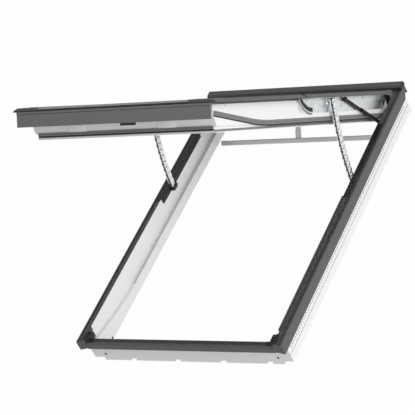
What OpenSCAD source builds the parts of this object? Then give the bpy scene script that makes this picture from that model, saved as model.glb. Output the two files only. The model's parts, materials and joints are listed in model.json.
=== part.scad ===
// Top-hung roof window with chain drives, shown open as in the photograph.
// The frame lies in the XY plane: +Y runs up the slope and +Z points out of the roof.
// Sash pieces are drawn closed, in hinge coordinates: y = -(distance below the hinge), z = height above it.

/* [Window] */
// Width over the frame's cladding
frame_w = 780; // [660:10:1140]
// Length from the lower end of the jamb cladding to the upper edge of the hood
frame_l = 1209; // [1100:1:1400]
// Depth from the underside to the outer face of the jamb cladding
frame_d = 120; // [115:1:135]
// Angle of the open sash
open_angle = 40.8; // [10:0.1:45]

/* [Frame] */
// How far the white core stands inside the cladding at each side
core_inset = 11; // [8:0.5:14]
// Width of a jamb's core at the underside
jamb_w = 36; // [34:1:44]
// Width of the rebate that takes the sash hardware
rebate_w = 14; // [12:1:16]
// Height of the rebate's step above the underside
step_h = 51; // [40:1:54]
// Rise of the step towards the sill
step_rise = 38; // [20:1:45]
// Length over which the step rises
step_run = 300; // [200:10:420]
// Set-back of the white sill behind the lower end
sill_set = 30; // [27:1:34]
// Thickness of the sill at the underside
sill_t = 42; // [38:1:44]
// Thickness of the head rail
head_t = 37; // [30:1:42]
// Spacing of the notches along the sill's lower edge
notch_pitch = 173; // [120:1:200]
// Width of a sill notch
notch_w = 20; // [10:1:30]
// Height of a sill notch
notch_h = 9; // [6:0.5:12]
// Height of the jambs' underside above the sill's
jamb_up = 13; // [8:1:16]

/* [Cladding] */
// Thickness of the aluminium sheet
sheet_t = 2; // [1.5:0.1:2.4]
// Height of the jamb cladding's outer flange
flange_h = 40; // [30:1:50]
// Drop of the sill cladding below the jamb cladding
sill_drop = 10; // [8:0.5:14]
// Height of the sill cladding's front
sill_face = 25; // [20:1:30]
// Depth of the hood's back below the jamb cladding
hood_back = 36; // [30:1:45]
// Height of the hood above the jamb cladding
hood_h = 19; // [17:0.5:24]
// Width of the hood's outer face, along the slope
hood_w = 33; // [28:1:36]

/* [Hinge and arms] */
// Distance of the hinge axis from the upper edge of the hood
hinge_back = 57.5; // [54:0.5:60]
// Height of the hinge axis above the jamb cladding
hinge_up = 10.5; // [8:0.5:13]
// Diameter of the hinge pins
hinge_pin_d = 8; // [6:0.5:9]
// Thickness of the lift arms and brackets
arm_t = 3; // [2:0.5:3]
// Depth of the lift arms
arm_h = 49; // [40:1:52]
// Diameter of the round holes in the arms
arm_hole_d = 7; // [4:0.5:10]
// Running clearance between moving plates
run_gap = 1; // [0.5:0.1:1.2]

/* [Pivot] */
// Distance of the sash pivot from the hinge axis
pivot_l = 552; // [520:1:560]
// Depth of the sash pivot below the hinge axis
pivot_n = 16; // [15:0.5:20]
// Diameter of the pivot pins
pivot_pin_d = 10; // [8:0.5:11]
// Radius of the quarter-round pivot plates
moon_r = 106; // [98:1:110]

/* [Sash] */
// Clearance of the closed sash beside each jamb
side_gap = 5; // [4:0.5:6]
// Clearance of the closed sash behind the sill's lip
sill_gap = 6; // [5:0.5:8]
// Clearance of the closed front plate in front of the frame
front_gap = 5; // [4.5:0.5:8]
// Height of the front plate
front_h = 48; // [40:0.5:52]
// Depth of the white sash
sash_h = 85; // [80:1:90]
// Width of the sash members
stile_w = 70; // [60:1:80]
// Width of the bottom rail
bottom_w = 57; // [50:1:65]
// Thickness of each glass pane
pane_t = 4; // [3:0.5:5]
// Space between the panes
pane_gap = 18; // [12:1:20]
// Length of the slanted part of the side seals
seal_run = 258; // [200:1:300]
// How far the glass sits in the sash's rebate
glass_bite = 16; // [12:1:20]

/* [Covers] */
// Width of the side covers on the sash
cover_w = 59; // [56:1:68]
// Overhang of the covers beyond the sash
cover_out = 39; // [34:1:42]
// Width of the covers' slanted outer edge
cover_bevel = 18; // [14:1:22]
// How far the front plate's ends stand inside the covers' edges
plate_in = 17; // [10:1:24]
// Height of the covers' outer edge above the hinge axis
cover_lo = 1; // [0.5:0.1:2]
// Height of the covers' flat top above the hinge axis
cover_hi = 11; // [9:0.5:12]
// Length of the covers' tapered end caps
cap_l = 58; // [50:1:60]

/* [Chain drive] */
// Distance of the chain anchor from the hinge axis
anchor_l = 402; // [395:1:410]
// Depth of the chain and strut anchors below the hinge axis
anchor_n = 11; // [10:0.5:14]
// Distance of the chain's exit below the hinge axis, along the slope
exit_l = 406.5; // [400:0.5:412]
// Height of the chain's exit below the outer face of the frame
exit_drop = 12; // [11:0.5:15]
// Number of chain links outside the drive
links = 26; // [20:1:28]
// Bow of the open chain, down the slope
chain_bow = 14; // [0:0.5:16]
// Width of the chain over its plates
chain_w = 14; // [10:0.5:16]
// Depth of the chain's plates
chain_h = 13.6; // [10:0.2:14]
// Length of the drive housing
drive_l = 345; // [300:1:360]
// Height of the drive housing
drive_h = 18; // [14:0.5:20]
// Depth of the drive housing in the jamb
drive_t = 14; // [10:0.5:15]

/* [Gas strut] */
// Distance of the strut's frame pin below the hinge axis, along the slope
foot_l = 114; // [108:1:120]
// Height of the strut's frame pin below the outer face of the frame
foot_drop = 20.5; // [18:0.5:24]
// Distance of the strut's arm pin from the hinge axis
strut_l = 305; // [300:1:310]
// Diameter of the strut's cylinder
strut_d = 13; // [11:0.5:13]
// Diameter of the strut's rod
rod_d = 9; // [6:0.5:9]
// Length of the strut's cylinder
cyl_l = 143; // [135:1:150]

/* [Control bar] */
// How far the control bar's ends stand inside the sash's sides
bar_inset = 25; // [20:1:80]
// Depth of the control bar across the sash
bar_d = 18; // [14:1:22]
// Height of the control bar
bar_h = 17; // [12:1:20]
// Clear finger gap between the sash and the bar
bar_gap = 46; // [35:1:55]
// Distance of the bar's middle from the hinge axis
bar_pos = 17; // [15:1:24]

/* [Mounts] */
// Diameter of the pilot holes for the fixing brackets
pilot_d = 5; // [4:0.5:6]
// Spacing of the pilot holes along each jamb
pilot_pitch = 800; // [600:10:900]
// Height of the pilot holes above the underside
pilot_z = 24; // [20:1:30]

/* [Hidden] */
$fn = 48;

white = "whitesmoke";
grey = "dimgray";
black = [0.08, 0.08, 0.09];
steel = "silver";

// Frame stations
half_w = frame_w / 2;
half_l = frame_l / 2;
core_x = half_w - core_inset;
inner_x = core_x - jamb_w;
rebate_x = inner_x + rebate_w;
band_z = frame_d - sheet_t;
lip_z = frame_d - 12;
sill_y = sill_set - half_l;
hinge_y = half_l - hinge_back;
hinge_z = frame_d + hinge_up;
head_y = hinge_y + 10;
hood_z = frame_d + hood_h;
sill_lip = sill_y + 4.5;
sill_in = sill_lip - 12;
sill_z = frame_d - sill_drop;

// Sash stations, in hinge coordinates
sash_x = inner_x - side_gap;
sash_l = hinge_y - sill_lip - sill_gap;
front_l = hinge_y + half_l + front_gap;
sash_top = -8;
sash_under = sash_top - sash_h;
sash_step = -74;
sash_y = -6;
glass_top = sash_top + pane_t;
shelf_n = glass_top - pane_gap - 2 * pane_t;
rail_x = sash_x - stile_w;
glass_x = rail_x + glass_bite;
top_in = sash_y - stile_w - 2;
bottom_in = bottom_w - sash_l;
glass_y0 = bottom_in - glass_bite - 4.5;
glass_y1 = top_in + glass_bite + 4;
cover_x = sash_x - cover_w;
edge_x = sash_x + cover_out;
bevel_x = edge_x - cover_bevel;
plate_x = edge_x - plate_in;
plate_n = -2.5;
arm_x = sash_x + run_gap;
arm_top = -1;
split_l = pivot_l + 46;
arm_l = split_l - 1;
seal_l = sash_l - seal_run;
run_x = arm_x + arm_t + 7.5;
chain_x = arm_x + arm_t + 7 + chain_w / 2;
bar_l = 2 * (sash_x - bar_inset);
fit = 0.3;

// A point of the open sash in the frame's y and z
function on_slope(l, n) = [hinge_y - l * cos(open_angle) + n * sin(open_angle),
                           hinge_z + l * sin(open_angle) + n * cos(open_angle)];

// Outline of a folded sheet: a path and its copy at the thickness t to the left
function left_of(a, b) = let(d = (b - a) / norm(b - a)) [-d[1], d[0]];
function offset_at(p, i, t) = let(
    a = left_of(p[max(i - 1, 0)], p[max(i, 1)]),
    b = left_of(p[min(i, len(p) - 2)], p[min(i + 1, len(p) - 1)])) p[i] + t * (a + b) / (1 + a * b);
function folded(p, t) = concat(p, [for (i = [len(p) - 1 : -1 : 0]) offset_at(p, i, t)]);

module along_y(y0, y1) { translate([0, y1, 0]) rotate([90, 0, 0]) linear_extrude(y1 - y0) children(); }
module along_x(x0, x1) { translate([x0, 0, 0]) rotate([90, 0, 90]) linear_extrude(x1 - x0) children(); }
module on_side(side) { mirror([side < 0 ? 1 : 0, 0, 0]) children(); }
module hung() { translate([0, hinge_y, hinge_z]) rotate([-open_angle, 0, 0]) children(); }
module pin(x0, x1, y, z, d) { translate([x0, y, z]) rotate([0, 90, 0]) cylinder(d = d, h = x1 - x0); }

// Frame

module jamb() {
    difference() {
        union() {
            along_y(sill_y, head_y + head_t) polygon([
                [inner_x, jamb_up + 3], [inner_x + 3, jamb_up], [core_x, jamb_up], [core_x, step_h],
                [core_x - 1.5, step_h + 1], [core_x, step_h + 2], [core_x, band_z],
                [rebate_x + sheet_t + 3.5, band_z], [rebate_x + sheet_t, band_z - 3.5],
                [rebate_x + sheet_t, lip_z], [rebate_x, lip_z], [rebate_x, step_h], [inner_x, step_h]]);
            along_x(inner_x, rebate_x + 3) polygon(concat(
                [[sill_y, step_h - 5]],
                [for (i = [0 : 14]) let(s = 1 - i / 14)
                    [sill_y + step_run * (1 - s), step_h + step_rise * pow(s, 1.6)]],
                [[sill_y + step_run, step_h - 5]]));
        }
        drive_shape(fit);
        chain_mouth();
        for (s = [-1, 1]) pin(core_x - 15, core_x + 1, s * pilot_pitch / 2, pilot_z, pilot_d);
    }
}

module left_jamb() { color(white) on_side(-1) jamb(); }
module right_jamb() { color(white) on_side(1) jamb(); }

module sill_rail() {
    color(white) difference() {
        along_x(-inner_x, inner_x) polygon([
            [sill_y, 0], [sill_y + sill_t - 4, 0], [sill_y + sill_t, 8], [sill_y + 21, step_h - 1],
            [sill_lip, step_h + 7], [sill_lip, sill_z - 14], [sill_in, sill_z - 14], [sill_in, sill_z - 4],
            [sill_in - 2, sill_z - sheet_t], [sill_y - 16, sill_z - sheet_t], [sill_y - 21.5, sill_z - 8],
            [sill_y - 21.5, sill_z - sill_face + sheet_t], [sill_y, sill_z - sill_face + sheet_t]]);
        for (i = [-1.5 : 1.5]) translate([17.5 + i * notch_pitch, 0, 0])
            along_y(sill_y - 1, sill_y + sill_t + 1)
                polygon([[0, -1], [notch_w, -1], [notch_w + 5, notch_h], [5, notch_h]]);
    }
}

module head_rail() {
    color(white) along_x(-inner_x, inner_x) polygon([
        [head_y, 3], [head_y + 3, 0], [head_y + head_t, 0], [head_y + head_t, hood_z - sheet_t],
        [head_y + head_t - 14, hood_z - sheet_t], [head_y + head_t - 14, lip_z], [head_y, lip_z]]);
}

clad_end = half_l - 4.5;
clad_cut = flange_h * 3 / 4;

module jamb_cladding() {
    difference() {
        union() {
            along_y(-half_l, clad_end) polygon(folded([
                [half_w, frame_d - flange_h], [half_w, frame_d - 3], [half_w - 2.5, frame_d],
                [half_w - 5.5, frame_d], [half_w - 6.2, frame_d - 2.5], [half_w - 8.2, frame_d - 2.5],
                [half_w - 8.9, frame_d], [rebate_x + 3.5, frame_d], [rebate_x, frame_d - 3.5],
                [rebate_x, lip_z]], sheet_t));
            along_y(-half_l, sheet_t - half_l) polygon([
                [half_w, frame_d - flange_h], [half_w, frame_d - 3], [half_w - 3, frame_d],
                [rebate_x + 3.5, frame_d], [rebate_x, frame_d - 3.5], [rebate_x, frame_d - flange_h + 8]]);
        }
        drive_shape(fit);
        chain_mouth();
        along_x(half_w - 8, half_w + 1) polygon([
            [clad_end - clad_cut - 1, frame_d - flange_h - 1], [clad_end + 6, frame_d - flange_h - 1],
            [clad_end + 6, frame_d - flange_h + clad_cut + 6]]);
    }
}

module left_jamb_cladding() { color(grey) on_side(-1) jamb_cladding(); }
module right_jamb_cladding() { color(grey) on_side(1) jamb_cladding(); }

module sill_cladding() {
    color(grey) along_x(-(rebate_x - fit), rebate_x - fit) polygon(folded([
        [sill_in + sheet_t, sill_z - 13], [sill_in + sheet_t, sill_z - 3], [sill_in - 1, sill_z],
        [4 - half_l, sill_z], [-half_l, sill_z - 4], [-half_l, sill_z - sill_face],
        [sill_y - 3.5, sill_z - sill_face]], sheet_t));
}

function hood_path() = [
    [half_l, frame_d - hood_back], [half_l, hood_z - 8], [half_l - 6.5, hood_z],
    [half_l - hood_w + 5, hood_z], [half_l - hood_w, hood_z - 5], [half_l - hood_w, frame_d + 6]];

module head_hood() {
    color(grey) along_x(sheet_t + 1 - half_w, half_w - sheet_t - 1) polygon(folded(hood_path(), sheet_t));
}

module hood_cap() {
    along_x(half_w - sheet_t - 1, half_w) polygon(concat(
        [[half_l - hood_w, frame_d], [half_l, frame_d]], [for (i = [1 : 4]) hood_path()[i]]));
}

module left_hood_cap() { color(black) on_side(-1) hood_cap(); }
module right_hood_cap() { color(black) on_side(1) hood_cap(); }

module corner_key() {
    translate([rebate_x - 32, 6 - half_l, sill_z]) cube([31, half_l + sill_in - 5, 1.8]);
    along_x(rebate_x - 13, rebate_x - 0.5) polygon([
        [4 - half_l, sill_z], [12 - half_l, frame_d + 1], [sill_lip + 10, frame_d + 1],
        [sill_lip + 14, frame_d - 3], [sill_lip + 14, sill_z - 13], [sill_in + sheet_t, sill_z - 13],
        [sill_in + sheet_t, sill_z]]);
}

module left_corner_key() { color(black) on_side(-1) corner_key(); }
module right_corner_key() { color(black) on_side(1) corner_key(); }

module frame_gasket() {
    along_y(sill_y + step_run, head_y) polygon([
        [inner_x, step_h], [inner_x + 6, step_h], [inner_x + 6, step_h + 2], [inner_x + 3, step_h + 3.5],
        [inner_x, step_h + 2]]);
}

module left_frame_gasket() { color(grey) on_side(-1) frame_gasket(); }
module right_frame_gasket() { color(grey) on_side(1) frame_gasket(); }

// Chain drive

drive_y = hinge_y - exit_l - 85;
drive_z = band_z - drive_h;
exit_y = hinge_y - exit_l;
exit_z = frame_d - exit_drop;

// Rounded bar of the drive, grown by c to cut its pocket
module drive_shape(c) {
    along_x(rebate_x - 0.5 - c, rebate_x + drive_t + c) {
        translate([drive_y + drive_h / 2, drive_z - c]) square([drive_l - drive_h / 2 + c, drive_h + c]);
        translate([drive_y + drive_h / 2, drive_z + drive_h / 2]) circle(d = drive_h + 2 * c);
        translate([drive_y + drive_h / 2, drive_z + drive_h / 2]) square([drive_h, drive_h / 2]);
    }
}

// Opening beside the rebate that lets the chain out
module chain_mouth() {
    translate([chain_x - chain_w / 2 - fit, exit_y - 9, exit_z - 15]) cube([chain_w + 2 * fit, 22, 40]);
}

module drive_housing() {
    difference() {
        drive_shape(0);
        chain_mouth();
        for (i = [0 : 5]) translate([rebate_x - 1.5, drive_y + 150 + i * 30, drive_z + drive_h / 2 - 1])
            cube([2, 18, 2]);
    }
}

module left_drive_housing() { color(black) on_side(-1) drive_housing(); }
module right_drive_housing() { color(black) on_side(1) drive_housing(); }

// Guide in front of the opening, with one cheek on each side of the chain
module chain_guide() {
    difference() {
        along_x(chain_x - chain_w / 2 - 2.2, rebate_x - 0.5) polygon([
            [exit_y - 16, exit_z - 8], [exit_y - 16, exit_z - 3], [exit_y - 11, exit_z],
            [exit_y + 15, exit_z], [exit_y + 20, exit_z - 3], [exit_y + 20, exit_z - 8],
            [exit_y + 13, exit_z - 14], [exit_y - 9, exit_z - 14]]);
        chain_mouth();
    }
}

module left_chain_guide() { color(black) on_side(-1) chain_guide(); }
module right_chain_guide() { color(black) on_side(1) chain_guide(); }

plate_t = 1.8;

// Points along the open chain, from its exit to the pin on the arm, bowed down the slope
chain_end = on_slope(anchor_l, -anchor_n);
chain_start = [exit_y, exit_z - 8];
chain_dir = (chain_end - chain_start) / norm(chain_end - chain_start);
function chain_at(t) = chain_start + (chain_end - chain_start) * t
    - [chain_dir[1], -chain_dir[0]] * chain_bow * sin(180 * t);

// One plate of a link, with its corners cut off
module chain_plate(x, length, h) {
    e = 5.2;
    along_x(x, x + plate_t) polygon([
        [-e, -h / 2], [-e / 2, -h], [length + e / 2, -h], [length + e, -h / 2],
        [length + e, h / 2], [length + e / 2, h], [-e / 2, h], [-e, h / 2]]);
}

// Outer and inner links in turn: the inner plates lie a little inside the outer ones
module chain() {
    for (i = [0 : links - 1]) {
        a = chain_at(i / links);
        b = chain_at((i + 1) / links);
        x = chain_w / 2 - 0.5 - plate_t - (i % 2) * (plate_t - 0.1);
        h = chain_h / 2 - (i % 2) * 0.4;
        translate([chain_x, a[0], a[1]]) rotate([atan2(b[1] - a[1], b[0] - a[0]), 0, 0]) {
            chain_plate(x, norm(b - a), h);
            chain_plate(-x - plate_t, norm(b - a), h);
            pin(-chain_w / 2, chain_w / 2, 0, 0, 6);
        }
    }
    pin(chain_x - chain_w / 2, chain_x + chain_w / 2, chain_end[0], chain_end[1], 8);
}

module left_chain() { color(steel) on_side(-1) chain(); }
module right_chain() { color(steel) on_side(1) chain(); }

module chain_anchor() {
    hung() {
        along_x(arm_x + arm_t, arm_x + arm_t + 1.5) difference() {
            translate([-anchor_l - 16, arm_top - 28]) square([32, 26]);
            for (s = [-1, 1]) translate([-anchor_l + s * 11, arm_top - 20]) circle(d = 4);
        }
        pin(arm_x + arm_t + 1.5, chain_x - chain_w / 2, -anchor_l, -anchor_n, 8);
    }
}

module left_chain_anchor() { color(steel) on_side(-1) chain_anchor(); }
module right_chain_anchor() { color(steel) on_side(1) chain_anchor(); }

// Hinges, arms and pivots

bracket_x = arm_x + arm_t + run_gap - 0.3;

module hinge_bracket() {
    difference() {
        union() {
            along_x(bracket_x, bracket_x + arm_t) {
                translate([hinge_y, hinge_z]) circle(r = 12);
                polygon([[hinge_y - 12, hinge_z], [hinge_y - 24, lip_z - 14], [head_y - 1, lip_z - 14],
                         [head_y - 1, lip_z], [hinge_y + 12, hinge_z]]);
            }
            translate([bracket_x, hinge_y - 24, lip_z - 14])
                cube([rebate_x - bracket_x, head_y - hinge_y + 23, arm_t]);
            translate([rebate_x - arm_t, hinge_y - 24, lip_z - 14]) cube([arm_t, head_y - hinge_y + 23, 14]);
        }
        pin(bracket_x - 1, bracket_x + arm_t + 1, hinge_y, hinge_z, hinge_pin_d + fit);
    }
}

module left_hinge_bracket() { color(black) on_side(-1) hinge_bracket(); }
module right_hinge_bracket() { color(black) on_side(1) hinge_bracket(); }

module hinge_pin() {
    hung() {
        pin(arm_x, bracket_x + arm_t + fit, 0, 0, hinge_pin_d);
        pin(bracket_x + arm_t + fit, bracket_x + arm_t + 2.5, 0, 0, hinge_pin_d + 5);
    }
}

module left_hinge_pin() { color(steel) on_side(-1) hinge_pin(); }
module right_hinge_pin() { color(steel) on_side(1) hinge_pin(); }

module lift_arm() {
    hung() difference() {
        union() {
            pin(arm_x, arm_x + arm_t, 0, 0, 24);
            along_x(arm_x, arm_x + arm_t) polygon([
                [2, -11], [-26, arm_top - arm_h], [16 - arm_l, arm_top - arm_h],
                [-arm_l, arm_top - arm_h + 14], [-arm_l, arm_top], [-16, arm_top], [-9, 5], [2, 6]]);
        }
        pin(arm_x - 1, arm_x + arm_t + 1, 0, 0, hinge_pin_d);
        pin(arm_x - 1, arm_x + arm_t + 1, -pivot_l, -pivot_n, pivot_pin_d + fit);
        for (p = [[31, -31], [strut_l - 136, -12], [strut_l - 60, -34], [strut_l + 11, -29],
                  [anchor_l + 44, -32]])
            pin(arm_x - 1, arm_x + arm_t + 1, -p[0], p[1], arm_hole_d);
    }
}

module left_lift_arm() { color(steel) on_side(-1) lift_arm(); }
module right_lift_arm() { color(steel) on_side(1) lift_arm(); }

// Quarter-round plate with the arc ribs that guide the sash as it turns
module pivot_plate() {
    hung() difference() {
        union() {
            along_x(arm_x + arm_t, arm_x + arm_t + 1.5) quarter(0, moon_r);
            for (r = [moon_r - 34, moon_r - 8])
                along_x(arm_x + arm_t + 1, arm_x + arm_t + 3) quarter(r, r + 8);
        }
        pin(arm_x, arm_x + arm_t + 4, -pivot_l, -pivot_n, pivot_pin_d + 9);
    }
}

// Part of a ring between r0 and r1 that lies below the arm's upper edge
module quarter(r0, r1) {
    intersection() {
        translate([34 - pivot_l, 66 - pivot_n]) difference() {
            circle(r = r1, $fn = 96);
            if (r0 > 0) circle(r = r0, $fn = 96);
        }
        translate([-split_l - 5, arm_top - 70]) square([split_l - pivot_l + 42, 67]);
    }
}

module left_pivot_plate() { color(steel) on_side(-1) pivot_plate(); }
module right_pivot_plate() { color(steel) on_side(1) pivot_plate(); }

module pivot_pin() {
    hung() {
        pin(sash_x - 24, arm_x + arm_t + fit, -pivot_l, -pivot_n, pivot_pin_d);
        pin(arm_x + arm_t + fit, arm_x + arm_t + 3, -pivot_l, -pivot_n, pivot_pin_d + 6);
    }
}

module left_pivot_pin() { color(steel) on_side(-1) pivot_pin(); }
module right_pivot_pin() { color(steel) on_side(1) pivot_pin(); }

module arm_cover() {
    hung() along_y(-split_l, -16) polygon(folded([
        [edge_x, cover_lo - 4], [edge_x, cover_lo], [bevel_x, cover_hi], [arm_x, cover_hi],
        [arm_x, arm_top]], sheet_t));
}

module left_arm_cover() { color(grey) on_side(-1) arm_cover(); }
module right_arm_cover() { color(grey) on_side(1) arm_cover(); }

// Gas struts

foot_y = hinge_y - foot_l;
foot_z = frame_d - foot_drop;
strut_end = on_slope(strut_l, -anchor_n);
strut_len = norm(strut_end - [foot_y, foot_z]);
strut_tilt = atan2(strut_end[1] - foot_z, strut_end[0] - foot_y) - 90;
eye_w = 8;

module strut_foot() {
    pin(run_x + strut_d / 2 + fit, rebate_x, foot_y, foot_z, 24);
    pin(run_x - eye_w / 2 - 1, run_x + strut_d / 2 + fit, foot_y, foot_z, rod_d);
}

module left_strut_foot() { color(steel) on_side(-1) strut_foot(); }
module right_strut_foot() { color(steel) on_side(1) strut_foot(); }

module on_strut() { translate([run_x, foot_y, foot_z]) rotate([strut_tilt, 0, 0]) children(); }
module strut_eye(d, w) { translate([-w / 2, 0, 0]) rotate([0, 90, 0]) cylinder(d = d, h = w); }

module strut_cylinder() {
    on_strut() difference() {
        union() {
            strut_eye(rod_d + 8, eye_w);
            cylinder(d = strut_d, h = cyl_l);
            translate([0, 0, cyl_l - 8]) cylinder(d = strut_d + 0.8, h = 6);
        }
        strut_eye(rod_d + fit, strut_d + 2);
        translate([0, 0, 16]) cylinder(d = rod_d + 2 * fit, h = cyl_l);
    }
}

module left_strut_cylinder() { color(black) on_side(-1) strut_cylinder(); }
module right_strut_cylinder() { color(black) on_side(1) strut_cylinder(); }

module strut_rod() {
    on_strut() {
        translate([0, 0, cyl_l - 55]) cylinder(d = rod_d, h = strut_len - cyl_l + 50);
        translate([0, 0, strut_len]) strut_eye(14, eye_w);
        translate([0, 0, strut_len]) rotate([0, -90, 0]) cylinder(d = 7, h = run_x - arm_x - arm_t - fit);
    }
}

module left_strut_rod() { color(black) on_side(-1) strut_rod(); }
module right_strut_rod() { color(black) on_side(1) strut_rod(); }

// Sash

// Side outline of the white sash, with the bevelled lower end
function sash_side() = [[sash_y, sash_top], [sash_y, sash_under], [22 - sash_l, sash_under],
    [22 - sash_l, sash_step - 3], [-sash_l, sash_top - 27], [-sash_l, sash_top]];

module stile() {
    hung() difference() {
        intersection() {
            along_y(-sash_l, sash_y) polygon([
                [sash_x, sash_top], [sash_x, sash_step], [sash_x - 11, sash_step], [sash_x - 11, sash_under],
                [rail_x + 6, sash_under], [rail_x, sash_under + 9], [rail_x, shelf_n],
                [glass_x + 0.5, shelf_n], [glass_x + 0.5, sash_top]]);
            along_x(rail_x - 1, sash_x + 1) polygon(sash_side());
        }
        pin(sash_x - 24, sash_x + 1, -pivot_l, -pivot_n, pivot_pin_d);
    }
}

module sash_left_stile() { color(white) on_side(-1) stile(); }
module sash_right_stile() { color(white) on_side(1) stile(); }

module sash_top_rail() {
    color(white) hung() {
        along_x(-rail_x, rail_x) polygon([
            [sash_y, sash_top], [sash_y, sash_under], [top_in + 6, sash_under], [top_in, sash_under + 9],
            [top_in, shelf_n], [glass_y1 + 0.5, shelf_n], [glass_y1 + 0.5, sash_top]]);
        along_x(-glass_x - 0.5, glass_x + 0.5)
            polygon([[sash_y, sash_top], [sash_y, shelf_n], [glass_y1 + 0.5, shelf_n],
                     [glass_y1 + 0.5, sash_top]]);
        bar_lugs();
    }
}

module sash_bottom_rail() {
    color(white) hung() {
        along_x(-rail_x, rail_x) polygon([
            [-sash_l, sash_top], [-sash_l, sash_top - 27], [22 - sash_l, sash_step - 3],
            [22 - sash_l, sash_under], [bottom_in - 6, sash_under], [bottom_in, sash_under + 9],
            [bottom_in, shelf_n], [glass_y0 - 0.5, shelf_n], [glass_y0 - 0.5, sash_top]]);
        along_x(-glass_x - 0.5, glass_x + 0.5)
            polygon([[-sash_l, sash_top], [-sash_l, shelf_n], [glass_y0 - 0.5, shelf_n],
                     [glass_y0 - 0.5, sash_top]]);
    }
}

module pane(n) {
    hung() translate([-glass_x, glass_y0, n]) cube([2 * glass_x, glass_y1 - glass_y0, pane_t]);
}

module outer_pane() { color("lightblue", 0.4) pane(glass_top - pane_t); }
module inner_pane() { color("lightblue", 0.4) pane(shelf_n); }

// Flat ring with its outer edge at x and between y0 and y1
module ring(x, y0, y1, w, n, h) {
    translate([0, 0, n]) linear_extrude(h) difference() {
        translate([-x, y0]) square([2 * x, y1 - y0]);
        translate([w - x, y0 + w]) square([2 * (x - w), y1 - y0 - 2 * w]);
    }
}

module glass_spacer() {
    color("gainsboro") hung() ring(glass_x - 2, glass_y0 + 2, glass_y1 - 2, 12, shelf_n + pane_t, pane_gap);
}

module glazing_gasket() {
    color(black) hung() ring(cover_x - 0.2, glass_y0 + 6, -stile_w - 12, 3, glass_top, 2);
}

// Light edge strip that carries the lower edge of the glass out to the front plate
module glass_edge_strip() {
    color("gainsboro") hung() along_x(fit - cover_x, cover_x - fit) polygon(folded([
        [glass_y0 + 6, glass_top], [glass_y0 + 6, glass_top + 4], [glass_y0 - 5, cover_hi - 1],
        [9 - front_l, cover_hi - 1], [6 - front_l, cover_hi - 3], [6 - front_l, cover_hi - 7.5]], sheet_t));
}

module sash_top_cover() {
    color(grey) hung() along_x(fit - cover_x, cover_x - fit) polygon(folded([
        [sash_y, sash_top], [sash_y, cover_lo + 2], [-stile_w - 12, cover_hi],
        [-stile_w - 12, glass_top]], sheet_t));
}

// Side cover: the upper end of its overhang is cut back, so that the sash can turn past the arm's cover
module sash_cover() {
    hung() {
        along_y(-split_l - 8, sash_y) polygon(folded([
            [sash_x, sash_top], [sash_x, cover_hi], [cover_x, cover_hi], [cover_x, glass_top]], sheet_t));
        difference() {
            along_y(18 - sash_l, -split_l - 8) polygon(folded([
                [sash_x, sash_top], [sash_x, cover_lo - 4], [edge_x, cover_lo - 4], [edge_x, cover_lo],
                [bevel_x, cover_hi], [cover_x, cover_hi], [cover_x, glass_top]], sheet_t));
            along_x(sash_x, edge_x + 1) polygon([
                [-split_l - 7, cover_lo - 5], [-split_l - 7, cover_hi + 2],
                [-split_l - 8 - (cover_hi - cover_lo + 6), cover_hi + 2], [-split_l - 8, cover_lo - 4]]);
        }
    }
}

module left_sash_cover() { color(grey) on_side(-1) sash_cover(); }
module right_sash_cover() { color(grey) on_side(1) sash_cover(); }

// End of a side cover, tapered towards the front
module cover_cap() {
    back = 18 - sash_l;
    hung() intersection() {
        along_y(back - cap_l, back) polygon([
            [edge_x, plate_n + 0.2], [edge_x, cover_lo], [bevel_x, cover_hi], [cover_x, cover_hi],
            [cover_x, plate_n + 0.2]]);
        along_x(cover_x, edge_x) polygon([
            [back, plate_n + 0.2], [back, cover_hi], [back - 17, cover_hi], [back - cap_l + 3, cover_hi - 1],
            [back - cap_l, cover_hi - 4], [back - cap_l, plate_n + 0.2]]);
    }
}

module left_cover_cap() { color(black) on_side(-1) cover_cap(); }
module right_cover_cap() { color(black) on_side(1) cover_cap(); }

// Front plate: the face below its upper edge is set back a little
module sash_front_plate() {
    color(grey) hung() along_x(-plate_x, plate_x) polygon(folded([
        [16 - sash_l, sash_top + sheet_t], [-7 - sash_l, sash_top + sheet_t], [-19 - sash_l, plate_n],
        [-front_l, plate_n], [-front_l, plate_n - 5], [face_y, plate_n - 6.5], [face_y, plate_n - front_h],
        [face_y + 3.5, plate_n - front_h]], sheet_t));
}

face_y = 0.8 - front_l;

// Straight seal along the step and slanted seal towards the lower corner
module sash_gasket() {
    hung() {
        along_y(-seal_l, sash_y - 14) polygon([
            [sash_x - 11, sash_step - 9], [sash_x - 4, sash_step - 9], [sash_x + 3, sash_step - 5],
            [sash_x + 3, sash_step], [sash_x + 0.5, sash_step + 2], [sash_x + 0.5, sash_step + 10],
            [sash_x, sash_step + 10], [sash_x, sash_step], [sash_x - 11, sash_step]]);
        along_x(sash_x, sash_x + 2.6) polygon([
            [4 - seal_l, sash_step + 9], [4 - seal_l, sash_step - 2], [5 - sash_l, sash_top - 34],
            [5 - sash_l, sash_top - 19]]);
    }
}

module left_sash_gasket() { color("gray") on_side(-1) sash_gasket(); }
module right_sash_gasket() { color("gray") on_side(1) sash_gasket(); }

module bottom_gasket() {
    color("gray") hung() along_x(12 - sash_x, sash_x - 12) polygon([
        [22 - sash_l, sash_step - 3], [17 - sash_l, sash_step - 1], [17 - sash_l, sash_step - 11],
        [22 - sash_l, sash_step - 13]]);
}

module lock_tab() {
    color(black) hung() translate([32, face_y, plate_n - front_h - 8]) cube([56, 3.5, 8]);
}

// Control bar on its hinged post

lug_n = sash_under - 6;
bar_top = sash_under - bar_gap;

module bar_lugs() {
    for (s = [-1, 1]) translate([s * 9, 0, 0]) difference() {
        along_x(-1.5, 1.5) {
            translate([-bar_pos, lug_n]) circle(r = 5);
            translate([-bar_pos - 5, lug_n]) square([10, 6]);
        }
        pin(-3, 3, -bar_pos, lug_n, 5 + fit);
    }
}

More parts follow.
